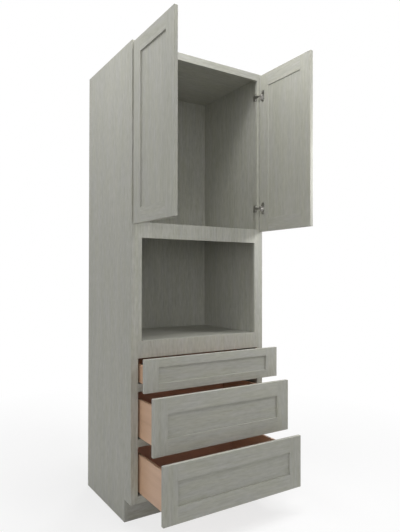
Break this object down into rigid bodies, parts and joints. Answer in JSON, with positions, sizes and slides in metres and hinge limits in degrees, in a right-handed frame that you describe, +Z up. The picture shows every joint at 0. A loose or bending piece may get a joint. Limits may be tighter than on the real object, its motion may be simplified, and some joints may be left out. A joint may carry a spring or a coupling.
{
  "type": "oven cabinet",
  "caption": "Tall face-frame kitchen cabinet for a built-in oven: paired shaker doors above, open oven bay, stacked pull-out drawers and a recessed toe kick.",
  "frame": {"origin": "where the cabinet's back face meets the floor, on its centre line", "axes": "+X right seen from the front, +Y towards the wall, +Z up"},
  "size_m": [0.8382, 1.0265, 2.4384],
  "materials": {
    "stained_wood": "grey-green wood stain with fine open grain, satin",
    "toe_kick": "grey-green wood stain, satin",
    "drawer_wood": "clear-coated maple",
    "slide_steel": "zinc plated",
    "hinge_steel": "nickel plated"
  },
  "bodies": {
    "cabinet": {"side_panel_left": "stained_wood", "side_panel_right": "stained_wood", "back_panel": "stained_wood", "top_panel": "stained_wood", "upper_deck": "stained_wood", "oven_deck": "stained_wood", "oven_deck_cleats": "stained_wood", "bottom_deck": "stained_wood", "toe_board": "toe_kick", "frame_stile_left": "stained_wood", "frame_stile_right": "stained_wood", "frame_top_rail": "stained_wood", "frame_oven_top_rail": "stained_wood", "frame_oven_bottom_rail": "stained_wood", "frame_upper_drawer_rail": "stained_wood", "frame_lower_drawer_rail": "stained_wood", "frame_bottom_rail": "stained_wood", "oven_fillers": "stained_wood", "hinge_arms": "hinge_steel", "hinge_pins": "hinge_steel", "slide_top_cabinet_members": "slide_steel", "slide_middle_cabinet_members": "slide_steel", "slide_bottom_cabinet_members": "slide_steel"},
    "door_left": {"door_left_hinge_stile": "stained_wood", "door_left_free_stile": "stained_wood", "door_left_top_rail": "stained_wood", "door_left_bottom_rail": "stained_wood", "door_left_panel": "stained_wood", "door_left_hinge_cups": "hinge_steel"},
    "door_right": {"door_right_hinge_stile": "stained_wood", "door_right_free_stile": "stained_wood", "door_right_top_rail": "stained_wood", "door_right_bottom_rail": "stained_wood", "door_right_panel": "stained_wood", "door_right_hinge_cups": "hinge_steel"},
    "drawer_top": {"drawer_top_front_stiles": "stained_wood", "drawer_top_front_rails": "stained_wood", "drawer_top_front_panel": "stained_wood", "drawer_top_box_sides": "drawer_wood", "drawer_top_box_ends": "drawer_wood", "drawer_top_box_bottom": "drawer_wood", "slide_top_drawer_members": "slide_steel"},
    "runners_top": {"slide_top_middle_members": "slide_steel"},
    "drawer_middle": {"drawer_middle_front_stiles": "stained_wood", "drawer_middle_front_rails": "stained_wood", "drawer_middle_front_panel": "stained_wood", "drawer_middle_box_sides": "drawer_wood", "drawer_middle_box_ends": "drawer_wood", "drawer_middle_box_bottom": "drawer_wood", "slide_middle_drawer_members": "slide_steel"},
    "runners_middle": {"slide_middle_middle_members": "slide_steel"},
    "drawer_bottom": {"drawer_bottom_front_stiles": "stained_wood", "drawer_bottom_front_rails": "stained_wood", "drawer_bottom_front_panel": "stained_wood", "drawer_bottom_box_sides": "drawer_wood", "drawer_bottom_box_ends": "drawer_wood", "drawer_bottom_box_bottom": "drawer_wood", "slide_bottom_drawer_members": "slide_steel"},
    "runners_bottom": {"slide_bottom_middle_members": "slide_steel"}
  },
  "joints": [
    {"name": "door_left_hinge", "type": "hinge", "parent": "cabinet", "child": "door_left", "pos_m": [-0.40495, -0.6231, 1.971], "axis": [0, 0, -1], "range_deg": [-90, 14]},
    {"name": "door_right_hinge", "type": "hinge", "parent": "cabinet", "child": "door_right", "pos_m": [0.40495, -0.6231, 1.971], "axis": [0, 0, 1], "range_deg": [-90, 14]},
    {"name": "drawer_top_slide", "type": "slide", "parent": "cabinet", "child": "drawer_top", "axis": [0, -1, 0], "range_m": [-0.1144, 0.4056]},
    {"name": "runners_top_slide", "type": "slide", "parent": "cabinet", "child": "runners_top", "axis": [0, -1, 0], "range_m": [-0.0572, 0.2028]},
    {"name": "drawer_middle_slide", "type": "slide", "parent": "cabinet", "child": "drawer_middle", "axis": [0, -1, 0], "range_m": [-0.2076, 0.3124]},
    {"name": "runners_middle_slide", "type": "slide", "parent": "cabinet", "child": "runners_middle", "axis": [0, -1, 0], "range_m": [-0.1038, 0.1562]},
    {"name": "drawer_bottom_slide", "type": "slide", "parent": "cabinet", "child": "drawer_bottom", "axis": [0, -1, 0], "range_m": [-0.3063, 0.2137]},
    {"name": "runners_bottom_slide", "type": "slide", "parent": "cabinet", "child": "runners_bottom", "axis": [0, -1, 0], "range_m": [-0.15315, 0.10685]}
  ],
  "couplings": [
    {"joint": "runners_top_slide", "follows": "drawer_top_slide", "ratio": 0.5},
    {"joint": "runners_middle_slide", "follows": "drawer_middle_slide", "ratio": 0.5},
    {"joint": "runners_bottom_slide", "follows": "drawer_bottom_slide", "ratio": 0.5}
  ]
}
